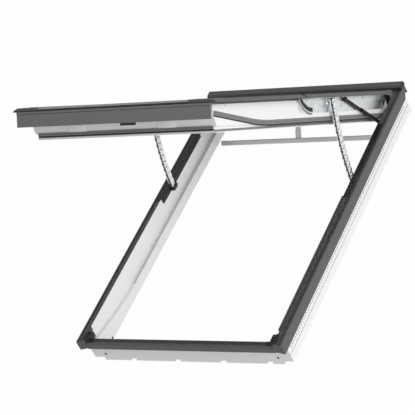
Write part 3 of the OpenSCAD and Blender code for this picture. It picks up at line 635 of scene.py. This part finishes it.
class SideSeals(bpy.types.Operator):
    """Runs the seals along the stiles and the bottom rail of the sash"""

    bl_idname = "roof_window.side_seals"
    bl_label = "Sash seals"

    # Points of the path of a side seal: on the stile's step, round the bend, and down to the corner
    STEP_POINTS, BEND_POINTS, FOOT_POINTS = 23, 8, 10
    # How far a seal reaches into the stile: under its step, and elsewhere
    HOOK, SKIN = 10.5 * MM, 0.3 * MM

    def execute(self, context):
        height = context.scene.roof_window_sizes.seal_height
        path = self.path()
        for side, sign in SIDES.items():
            # The black lip under each side seal is painted shade
            for name, profile, slot in (("side_seal", self.bulb, "grey_rubber"),
                                        ("seal_lip", self.lip, "black_rubber")):
                sections = []
                for i, point in enumerate(path):
                    ahead = (path[min(i + 1, len(path) - 1)] - path[max(i - 1, 0)]).normalized()
                    up = Vector((0, ahead.z, -ahead.y))
                    back = -self.HOOK if i < self.STEP_POINTS - 1 else -self.SKIN
                    sections.append([HUNG @ (point + up * u + Vector((sign * (SASH_X + w), 0, 0)))
                                     for u, w in profile(height, back)])
                bm = bmesh.new()
                swept(bm, sections)
                made = piece(bm, f"{side}_{name}", slot, "sash")
                if name == "side_seal":
                    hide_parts(f"{side}_sash_gasket")
            self.stile_shade_seal(side, sign)
        self.bottom_seal()
        return {"FINISHED"}

    def path(self):
        """Line of a side seal on the stile, in hinge y and z: along its step, round a bend and down."""
        low, high = hung_box("right_sash_gasket")
        step_up, bend_up, bend_rise, foot_drop, bend_share = 9 * MM, 258 * MM, 3 * MM, 8.5 * MM, 0.12
        step = low.z + step_up
        top = Vector((0, high.y, step))
        bend = Vector((0, SASH_END + bend_up, step + bend_rise))
        foot = Vector((0, low.y, high.z - foot_drop))
        step_end = Vector((0, bend.y, step))
        points = [top.lerp(step_end, k / (self.STEP_POINTS + 1)) for k in range(self.STEP_POINTS)]
        before, after = points[-1], bend.lerp(foot, bend_share)
        for k in range(1, self.BEND_POINTS + 1):
            t = k / self.BEND_POINTS
            points.append(before * (1 - t) ** 2 + bend * 2 * t * (1 - t) + after * t * t)
        return points + [after.lerp(foot, k / self.FOOT_POINTS) for k in range(1, self.FOOT_POINTS + 1)]

    def bulb(self, height, back):
        """Thin flap above a round bulb, as offsets up the stile's face and off it."""
        flap, under, hook = 9.5 * MM, -4.9 * MM, -0.4 * MM
        crown = [(9.5, 0.15), (3.4, 0.17), (2.9, 0.03), (2.0, 0.05), (1.7, 0.5), (0.9, 0.86), (-0.6, 1.0),
                 (-2.2, 1.0), (-3.6, 0.84), (-4.5, 0.5), (-4.9, 0.1)]
        return ([(flap, -self.SKIN)] + [(u * MM, w * height) for u, w in crown]
                + [(under, back), (hook, back), (hook, -self.SKIN)])

    def lip(self, height, back):
        """Black lip along the lower side of the bulb: painted shade, a dark line for the shadow under the seal."""
        inner, outer = -5.0 * MM, -8.8 * MM
        return [(inner, back), (inner, 0.3 * height), (-7.6 * MM, 0.45 * height), (outer, 0.06 * height),
                (outer, back)]

    def stile_shade_seal(self, side, sign):
        """Flat seal along the foot of a stile, in line with the seal of the bottom rail. Its grey also paints the
        shade on the stile's recessed foot.
        """
        low, high = hung_box(f"sash_{side}_stile")
        face = SASH_X - 11 * MM
        foot = moved([(-0.3, 2.6), (1.6, 3), (2, 6), (1.4, 9.4), (-0.3, 9.8)], face, low.z)
        run = (hung_box("bottom_gasket")[0].y + 5 * MM, high.y - 34 * MM)
        bar(f"{side}_stile_seal", "grey_rubber", "sash", foot, run, on_sash(along_y(sign)))

    def bottom_seal(self):
        """Round seal, flap and lip along the bottom rail, in shares of the solid's depth and height. The black lip
        is painted shade, a dark line for the shadow under the seal.
        """
        low, high = hung_box("bottom_gasket")
        deep, tall = high.y - low.y, high.z - low.z
        bulb = [(1.0, 1.0), (0.45, 0.97), (0.12, 0.88), (0.0, 0.74), (0.04, 0.58), (0.25, 0.46), (1.0, 0.44)]
        lip = [(1.0, 0.43), (0.5, 0.40), (0.25, 0.2), (0.4, 0.04), (1.0, 0.0)]
        flap = [(0.1, 0.9), (-0.15, 1.17), (-0.08, 1.23), (0.4, 1.23), (0.6, 0.96)]
        for name, outline, slot in (("bottom_seal", bulb, "grey_rubber"),
                                    ("bottom_seal_lip", lip, "black_rubber"),
                                    ("bottom_seal_flap", flap, "grey_rubber")):
            shape = [(low.y + u * deep, low.z + v * tall) for u, v in outline]
            made = bar(name, slot, "sash", shape, (low.x, high.x), on_sash(along_x))
            if name == "bottom_seal":
                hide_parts("bottom_gasket")


class Fasteners(bpy.types.Operator):
    """Sets screws and rivets in the frame, the arms and the sash"""

    bl_idname = "roof_window.fasteners"
    bl_label = "Screws and rivets"

    # x and z on the sill, y and z in the jambs, and hinge y from the sash's end and z on the stiles
    SILL_SCREW, JAMB_SCREW = (329.5 * MM, 29 * MM), (-498 * MM, 23.5 * MM)
    SASH_SCREW = (70 * MM, -14 * MM)
    # Half the spacing of the rivets, their drop below the anchor's top, and its plate's thickness
    SPREAD, DROP, PLATE = 11 * MM, 18 * MM, 1.5 * MM
    TURN_SEED = 7
    HEAD_SIDES = 12

    def execute(self, context):
        scale = context.scene.roof_window_sizes.screw
        tree = fastener_tree()
        screw, rivet = self.screw(), self.rivet()
        low, high = hung_box("right_chain_anchor")
        plate_x, middle, rivet_z = ARM_FACE_X + self.PLATE, (low.y + high.y) / 2, high.z - self.DROP
        frame_spots, arm_spots, sash_spots = [], [], []
        sill_x, sill_z = self.SILL_SCREW
        for s in (-1, 1):
            frame_spots.append((Vector((s * sill_x, SILL_Y, sill_z)), Vector((0, -1, 0))))
        for s in (-1, 1):
            outward = Vector((s, 0, 0))
            frame_spots.append((Vector((s * JAMB_IN_X, *self.JAMB_SCREW)), -outward))
            for k in (-1, 1):
                on_plate = Vector((s * plate_x, middle + k * self.SPREAD, rivet_z))
                arm_spots.append((HUNG @ on_plate, outward))
            on_stile = Vector((s * SASH_X, SASH_END + self.SASH_SCREW[0], self.SASH_SCREW[1]))
            sash_spots.append((HUNG @ on_stile, outward))
        for name, spots, body, slot, shape in (
                ("frame_screws", frame_spots, "frame", "black_plastic", screw),
                ("arm_rivets", arm_spots, "lift_arms", "galvanised_steel", rivet),
                ("sash_screws", sash_spots, "sash", "galvanised_steel", screw)):
            base = bpy.data.meshes.new(f"{name}_spots")
            base.from_pydata([p for p, _ in spots], [], [])
            facing = base.attributes.new("facing", "FLOAT_VECTOR", "POINT")
            facing.data.foreach_set("vector", [x for _, f in spots for x in f])
            grown(name, base, tree, {"Shape": shape, "Scale": scale, "Seed": self.TURN_SEED}, slot, body)
        drop(screw, rivet)
        return {"FINISHED"}

    def screw(self):
        """Pan head with a cross recess, one unit across, standing on z = 0."""
        bm = bmesh.new()
        arm, w, taper, crown_r = 0.27, 0.05, 0.8, 0.36
        floor_z, rim_z, crown_z = 0.10, 0.27, 0.25
        cross = [(w, w), (arm, w), (arm, -w), (w, -w), (w, -arm), (-w, -arm), (-w, -w), (-arm, -w), (-arm, w),
                 (-w, w), (-w, arm), (w, arm)][::-1]
        floor = [bm.verts.new((u * taper, v * taper, floor_z)) for u, v in cross]
        rim = [bm.verts.new((u, v, rim_z)) for u, v in cross]
        angles = [-math.tau * (k - 0.5) / self.HEAD_SIDES + math.pi / 4 for k in range(self.HEAD_SIDES)]
        crown = [bm.verts.new((crown_r * math.cos(a), crown_r * math.sin(a), crown_z)) for a in angles]
        bm.faces.new(floor)
        skirt(bm, floor, rim)
        crown.sort(key=lambda v: -math.atan2(v.co.y, v.co.x))
        skirt(bm, sorted(rim, key=lambda v: -math.atan2(v.co.y, v.co.x)), crown)
        rings = [crown]
        for r, h in ((0.46, 0.18), (0.5, 0.08), (0.5, -0.03)):
            rings.append([bm.verts.new((v.co.x / crown_r * r, v.co.y / crown_r * r, h)) for v in crown])
        for upper, lower in zip(rings, rings[1:]):
            skirt(bm, upper, lower)
        bm.faces.new(rings[-1])
        return template(bm, "screw_shape")

    def rivet(self):
        """Domed head, one unit across, standing on z = 0."""
        bm = bmesh.new()
        dome = [(0, -0.03), (0.5, -0.03), (0.5, 0.04), (0.44, 0.15), (0.3, 0.23), (0.12, 0.26), (0, 0.2)]
        turned(bm, dome, 20, lambda u, v, w: Vector((u, v, w)))
        return template(bm, "rivet_shape")


class PivotTracks(bpy.types.Operator):
    """Lays a black slide track and a rim round each pivot plate, and a catch beside its pivot"""

    bl_idname = "roof_window.pivot_tracks"
    bl_label = "Pivot tracks"

    # Middle of the arcs from the pivot, in millimetres
    MIDDLE = (34, 66)
    # Radius, start and end in degrees of the outer and the inner arc
    TRACK = ((97.5 * MM, 214.5, 271.2), (84 * MM, 271.4, 221))
    RIM = ((106 * MM, 212, 268), (102.5 * MM, 268, 213.5))
    ARC_STEPS = 40

    def execute(self, context):
        pivot = HUNG.inverted() @ Vector(JOINTS["sash_pivot"]["pos_m"])
        (middle,) = moved([self.MIDDLE], pivot.y, pivot.z)
        track, rim = [[point for ring in rings for point in arc(middle, *ring, self.ARC_STEPS)]
                      for rings in (self.TRACK, self.RIM)]
        catch = moved([(-12, 9), (-3, 9), (-6.5, 0)], pivot.y, pivot.z)
        for side, sign in SIDES.items():
            bm = bmesh.new()
            for shape, w0, w1 in ((track, 1.45, 2.6), (rim, 2.8, 3.4), (catch, 1.45, 2.2)):
                prism(bm, shape, w0 * MM, w1 * MM, on_sash(off_side(sign, ARM_FACE_X)))
            soften(bm, 0.2 * MM)
            piece(bm, f"{side}_pivot_track", "black_plastic", "lift_arms")
        return {"FINISHED"}


class StrikerPads(bpy.types.Operator):
    """Sets two flat striker pads on the bottom rail of the sash"""

    bl_idname = "roof_window.striker_pads"
    bl_label = "Striker pads"

    def execute(self, context):
        # Top and foot of the rail's slanted front, in hinge coordinates
        top = Vector((0, SASH_END, -35 * MM))
        foot = Vector((0, SASH_END + 22 * MM, -77 * MM))
        down = (foot - top).normalized()
        off = Vector((0, down.z, -down.y))
        upper, lower, sunk, proud = 10 * MM, 44 * MM, 0.5 * MM, 2.4 * MM
        bm = bmesh.new()
        for x0, x1 in ((-205 * MM, -137 * MM), (130 * MM, 195 * MM)):
            shape = [(x0, upper), (x1, upper), (x1, lower), (x0, lower)]
            prism(bm, shape, -sunk, proud,
                  lambda u, v, w: HUNG @ (top + Vector((u, 0, 0)) + down * v + off * w))
        soften(bm, 0.8 * MM)
        piece(bm, "striker_pads", "white_coat", "sash")
        return {"FINISHED"}


class BarCaps(bpy.types.Operator):
    """Closes the control bar's ends with caps"""

    bl_idname = "roof_window.bar_caps"
    bl_label = "Control bar caps"

    def execute(self, context):
        low, high = hung_box("control_bar")
        depth, height = high.y - low.y, 17 * MM
        grow, corner, past_end, overlap = 0.5 * MM, 3.5 * MM, 0.4 * MM, 11 * MM
        shape = rounded(low.y - grow, low.y + depth + grow, low.z - grow, low.z + height + grow, corner, 6)
        bm = bmesh.new()
        for s in (-1, 1):
            a, b = sorted((s * (high.x + past_end), s * (high.x - overlap)))
            prism(bm, shape, a, b, on_sash(along_x))
        soften(bm, 0.5 * MM)
        piece(bm, "control_bar_caps", "grey_aluminium", "control_bar")
        return {"FINISHED"}


class JambSlots(bpy.types.Operator):
    """Lays a row of dark slots and a joint line on the outer side of each jamb"""

    bl_idname = "roof_window.jamb_slots"
    bl_label = "Jamb slots"

    # Heights of the slots and of the joint line's edges above the frame's underside
    SLOT_Z, LINE_Z = 59 * MM, (41.2 * MM, 42.8 * MM)
    SLOT_LENGTH, SLOT_RADIUS = 6 * MM, 1.6 * MM
    # How deep both start in the jamb, and how far they stand off it
    SUNK, SLOT_PROUD, LINE_PROUD = 0.5 * MM, 0.15 * MM, 0.12 * MM

    def execute(self, context):
        pitch = context.scene.roof_window_sizes.slot_pitch
        tree = row_tree()
        first, last = SILL_Y + 20 * MM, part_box("right_jamb")[1].y - 30 * MM
        count = int((last - first) / pitch)
        y0, y1 = SILL_Y + 2 * MM, last + 28 * MM
        z0, z1 = self.LINE_Z
        line = [(y0, z0), (y1, z0), (y1, z1), (y0, z1)]
        for side, sign in SIDES.items():
            on_jamb = off_side(sign, JAMB_X)
            bm = bmesh.new()
            slot = stadium(self.SLOT_LENGTH, self.SLOT_RADIUS, 6)
            prism(bm, slot, -self.SUNK, self.SLOT_PROUD, on_jamb)
            shape = template(bm, "slot_shape")
            base = bpy.data.meshes.new("slot_base")
            base.from_pydata([(0, 0, 0)], [], [])
            values = {"Count": count, "Start": (0, first, self.SLOT_Z), "Step": (0, pitch, 0), "Shape": shape}
            grown(f"{side}_jamb_slots", base, tree, values, "grey_rubber", "frame")
            drop(shape)
            depth = (-self.SUNK, self.LINE_PROUD)
            bar(f"{side}_jamb_line", "black_rubber", "frame", line, depth, on_jamb)
        return {"FINISHED"}


class JambEdges(bpy.types.Operator):
    """Runs a white edge strip and a black lip along each jamb, up to the lid over its drive"""

    bl_idname = "roof_window.jamb_edges"
    bl_label = "Jamb edges"

    def execute(self, context):
        low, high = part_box("right_jamb_cladding")
        drive_low, drive_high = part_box("right_drive_housing")
        # The strip starts behind the front plate of the closed sash
        run = (HINGE.y + hung_box("sash_front_plate")[1].y + 6 * MM, drive_low.y - 2 * MM)
        lid_run = (drive_low.y - 4 * MM, drive_high.y + 4 * MM)
        strip = [(-1.6, -14), (-1.6, 4), (-0.8, 5), (0.4, 5), (0.4, -0.4), (-0.1, -3), (-0.1, -14)]
        lip = [(0.4, -3), (0.4, 5), (2.2, 5.2), (4.5, 3), (6, -0.3)]
        lid = [(1.4, -0.3), (1.4, 1.4), (25, 1.4), (25.6, -0.3)]
        for side, sign in SIDES.items():
            for name, outline, slot, ends in (("jamb_edge", strip, "white_coat", run),
                                              ("jamb_lip", lip, "black_rubber", run),
                                              ("drive_lid", lid, "black_plastic", lid_run)):
                bar(f"{side}_{name}", slot, "frame", moved(outline, low.x, high.z), ends, along_y(sign))
        return {"FINISHED"}


class KeyRibs(bpy.types.Operator):
    """Adds a moulded flange and ribs to the corner keys"""

    bl_idname = "roof_window.key_ribs"
    bl_label = "Corner key ribs"

    # Number of ribs, place of the first and spacing in millimetres, and their width
    RIBS, FIRST, PITCH, RIB_WIDTH = 7, 8, 4.6, 1.8 * MM

    def execute(self, context):
        for side, sign in SIDES.items():
            low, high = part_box(f"{side}_corner_key")
            outer = max(abs(low.x), abs(high.x))
            inner_x, outer_x, cut_x = outer - 1 * MM, outer + 13 * MM, outer + 6 * MM
            front, back, cut_y = low.y + 3 * MM, high.y - 1 * MM, high.y - 14 * MM
            flange = [(inner_x, front), (outer_x, front), (outer_x, cut_y), (cut_x, back), (inner_x, back)]
            bm = bmesh.new()
            prism(bm, flange, high.z - 1.1 * MM, high.z + 0.6 * MM, upright(sign))
            for k in range(self.RIBS):
                y = low.y + (self.FIRST + self.PITCH * k) * MM
                rib = rounded(outer - 9 * MM, outer + 4 * MM, y, y + self.RIB_WIDTH, 0.8 * MM)
                prism(bm, rib, high.z - 0.3 * MM, high.z + 1.3 * MM, upright(sign))
            soften(bm, 0.25 * MM)
            piece(bm, f"{side}_key_ribs", "black_plastic", "frame")
        return {"FINISHED"}


class RubberLines(bpy.types.Operator):
    """Lays the black beads, lips and flaps of the claddings, covers and glass. Several of them are painted shade
    for shadow lines and gaps.
    """

    bl_idname = "roof_window.rubber_lines"
    bl_label = "Beads and lips"

    def execute(self, context):
        for side, sign in SIDES.items():
            self.cladding_shade_bead(side, sign)
            self.cover_bead(side, sign)
            self.split_flap(side, sign)
        self.glass_edge_seal()
        self.cross_lines()
        return {"FINISHED"}

    def cladding_shade_bead(self, side, sign):
        """Bead in the groove of a jamb's cladding, from the sill to the hood. Its black is painted shade in the
        groove, and it stands up enough to cast a real shadow beside it.
        """
        low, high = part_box("right_jamb_cladding")
        bead = [(-3.4, -0.1), (0.2, -0.1), (0.4, -2.4), (2.6, -2.4), (2.9, -0.1), (2.9, 1.2), (2.0, 2.4),
                (0.2, 3.0), (-1.8, 3.0), (-3.0, 2.2)]
        groove = high.x - 8.7 * MM
        run = (low.y + 2.2 * MM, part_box("head_hood")[1].y - 33 * MM)
        bar(f"{side}_cladding_bead", "black_rubber", "frame", moved(bead, groove, high.z), run, along_y(sign))

    def cover_bead(self, side, sign):
        """Bead along the crease of the side covers, in one run on the sash and one on the arm."""
        low, high = hung_box(f"{side}_arm_cover")
        sash_end = hung_box(f"{side}_sash_cover")[0].y
        crease = max(abs(low.x), abs(high.x)) - 18 * MM
        bead = moved([(-2.2, -0.2), (2.2, -0.9), (1.8, 0.4), (0, 0.9), (-1.8, 0.5)], crease, high.z)
        margin, split = 4 * MM, 30 * MM
        for part, body, run in (("sash", "sash", (sash_end + margin, low.y - split)),
                                ("arm", "lift_arms", (low.y + margin, high.y - margin))):
            bar(f"{side}_{part}_cover_bead", "black_rubber", body, bead, run, on_sash(along_y(sign)))

    def split_flap(self, side, sign):
        """Flap on the arm, under the split between its cover and the sash's."""
        low = hung_box(f"{side}_arm_cover")[0]
        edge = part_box("right_arm_cover")[1].x
        flap = moved([(-31, -1.6), (-1, -1.6), (-1, -0.4), (-31, -0.4)], edge, low.z)
        run = (low.y - 46 * MM, low.y + 26 * MM)
        bar(f"{side}_split_flap", "black_rubber", "lift_arms", flap, run, on_sash(along_y(sign)))

    def glass_edge_seal(self):
        """Seal under the strip at the lower glass edge, carried on at both sides. Its black is painted shade for
        the shadow gap between the strip and the front plate.
        """
        low, high = hung_box("glass_edge_strip")
        foot = hung_box("sash_front_plate")[1].z
        top = high.z - 6.6 * MM
        front, chamfer, back = low.y + 0.6 * MM, low.y + 1.6 * MM, low.y + 8 * MM
        under = [(front, foot), (back, foot), (back, top), (chamfer, top), (front, top - 1 * MM)]
        beside = moved([(-1.6, 0), (1, 0), (1, 4), (-1.6, 3.4)], low.y, foot)
        gap, reach = 0.5 * MM, 96 * MM
        bm = bmesh.new()
        prism(bm, under, low.x, high.x, on_sash(along_x))
        for sign in SIDES.values():
            a, b = sorted((sign * (high.x + gap), sign * (high.x + reach)))
            prism(bm, beside, a, b, on_sash(along_x))
        piece(bm, "glass_edge_seal", "black_rubber", "sash")

    def cross_lines(self):
        """Painted shade: a black line below the front plate's lip, and a black lip on the hood's front for the
        shadow gap under the hood. Also the black lip of the sill's cladding.
        """
        low, high = hung_box("sash_front_plate")
        joint = moved([(0.3, -8.6), (-0.12, -8.6), (-0.12, -7), (0.3, -7)], low.y + 0.8 * MM, high.z)
        run = (low.x + 1 * MM, high.x - 1 * MM)
        bar("front_plate_joint", "black_rubber", "sash", joint, run, on_sash(along_x))
        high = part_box("sill_cladding")[1]
        key_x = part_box("right_corner_key")[0].x
        lip = [(-5.2, -0.3), (-5.6, 3.4), (-7.6, 4.4), (-12, 2.4), (-17.5, 0.6), (-18, -0.3)]
        bar("sill_lip", "black_rubber", "frame", moved(lip, high.y, high.z), (-key_x, key_x), along_x)
        low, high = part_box("head_hood")
        lip = [(0.3, -13), (-1.2, -12.5), (-1.7, -8), (-1.2, -4.5), (0.3, -4)]
        bar("hood_lip", "black_rubber", "frame", moved(lip, low.y, high.z), (low.x, high.x), along_x)


class StageSet(bpy.types.Operator):
    """Sets the floor, the lights, the world and the camera"""

    bl_idname = "roof_window.stage"
    bl_label = "Stage"

    # Lamps: the point that they face, their distance from it, their size and their directions
    FACED, DISTANCE, LAMP_SIZE = Vector((0, 0, 0.4)), 5, 4.0
    KEY_FROM, FILL_FROM = Vector((0.92, -0.2, 0.36)), Vector((-0.25, -0.95, 0.14))
    FLOOR_HALF = 14
    # Share of plain white in the floor that the camera sees. The rest takes the shadow
    FLOOR_WHITE = 0.98
    # Camera fitted to the photograph: its axes and its place
    RIGHT = Vector((0.84414945, 0.37145694, -0.38656365))
    UP = Vector((0.01711632, 0.7020142, 0.71195722))
    BACK = Vector((0.53583462, -0.60761484, 0.58624693))
    EYE = Vector((3.761, -4.4205, 4.4))

    def execute(self, context):
        scene, stage = context.scene, context.scene.roof_window_stage
        scene.view_settings.view_transform = "Standard"
        self.floor(stage)
        self.world(scene, stage)
        for name, power, away in (("key", stage.key, self.KEY_FROM), ("fill", stage.fill, self.FILL_FROM)):
            lamp = bpy.data.lights.new(f"{name}_light", "AREA")
            lamp.energy, lamp.size = power, self.LAMP_SIZE
            made = new_object(f"{name}_light", lamp)
            made.location = self.FACED + away.normalized() * self.DISTANCE
            made.rotation_euler = (-away).to_track_quat("-Z", "Y").to_euler()
        self.camera(scene, stage)
        return {"FINISHED"}

    def seen(self, tree):
        """One for rays that show the background: from the camera, from gloss and through glass."""
        path = put(tree, "ShaderNodeLightPath").outputs
        first = maths(tree, "MAXIMUM", path["Is Camera Ray"], path["Is Glossy Ray"])
        return maths(tree, "MAXIMUM", first, path["Is Transmission Ray"])

    def floor(self, stage):
        """Pale floor that fades into the white background and keeps a trace of the shadow."""
        bm = bmesh.new()
        bmesh.ops.create_grid(bm, x_segments=8, y_segments=8, size=self.FLOOR_HALF)
        bmesh.ops.translate(bm, verts=bm.verts, vec=(0, 0, -stage.floor_drop))
        mesh = bpy.data.meshes.new("pale_floor")
        bm.to_mesh(mesh)
        bm.free()
        made = new_object("pale_floor", mesh)
        paper = bpy.data.materials.new("pale_floor")
        paper.use_nodes = True
        tree = paper.node_tree
        tree.nodes.remove(tree.nodes["Principled BSDF"])
        matt = put(tree, "ShaderNodeBsdfDiffuse", {"Color": (0.9, 0.9, 0.9, 1)}).outputs["BSDF"]
        glow = put(tree, "ShaderNodeEmission", {"Color": (1, 1, 1, 1), "Strength": 1.0}).outputs["Emission"]
        share = maths(tree, "MULTIPLY", self.seen(tree), self.FLOOR_WHITE)
        both = put(tree, "ShaderNodeMixShader", {0: share, 1: matt, 2: glow})
        feed(tree, tree.nodes["Material Output"], {"Surface": both.outputs["Shader"]})
        mesh.materials.append(paper)

    def world(self, scene, stage):
        """Light from all round, at full white where the background shows."""
        world = bpy.data.worlds.new("soft_light")
        world.use_nodes = True
        scene.world = world
        tree = world.node_tree
        strength = ranged(tree, self.seen(tree), stage.ambient, 1.0)
        feed(tree, tree.nodes["Background"], {"Color": (1, 1, 1, 1), "Strength": strength})

    def camera(self, scene, stage):
        """Camera at the photograph's viewing angle."""
        lens = bpy.data.cameras.new("photo_camera")
        lens.lens, lens.sensor_width, lens.clip_end = stage.lens, 36, 100
        made = new_object("photo_camera", lens)
        turn = Matrix((self.RIGHT, self.UP, self.BACK)).transposed().to_4x4()
        made.matrix_world = Matrix.Translation(self.EYE) @ turn
        scene.camera = made


STEPS = (Finishes, Chains, SideSeals, Fasteners, PivotTracks, StrikerPads, BarCaps, JambSlots, JambEdges,
         KeyRibs, RubberLines, StageSet)
GROUPS = {"roof_window_colours": RoofWindowColours, "roof_window_sizes": RoofWindowSizes,
          "roof_window_stage": RoofWindowStage}


class RoofWindowPanel(bpy.types.Panel):
    """Lists the pieces and their values"""

    bl_idname = "VIEW3D_PT_roof_window"
    bl_label = "Roof window"
    bl_space_type = "VIEW_3D"
    bl_region_type = "UI"
    bl_category = "Roof window"

    def draw(self, context):
        for step in STEPS:
            self.layout.operator(step.bl_idname)
        for name, group in GROUPS.items():
            box = self.layout.box()
            for key in group.__annotations__:
                box.prop(getattr(context.scene, name), key)


def register():
    for made in (*GROUPS.values(), *STEPS, RoofWindowPanel):
        bpy.utils.register_class(made)
    for name, group in GROUPS.items():
        setattr(bpy.types.Scene, name, bpy.props.PointerProperty(type=group))


def unregister():
    for name in GROUPS:
        delattr(bpy.types.Scene, name)
    for made in (RoofWindowPanel, *STEPS[::-1], *GROUPS.values()):
        bpy.utils.unregister_class(made)


def main():
    register()
    for step in STEPS:
        group, call = step.bl_idname.split(".")
        getattr(getattr(bpy.ops, group), call)()


if __name__ == "__main__":
    main()
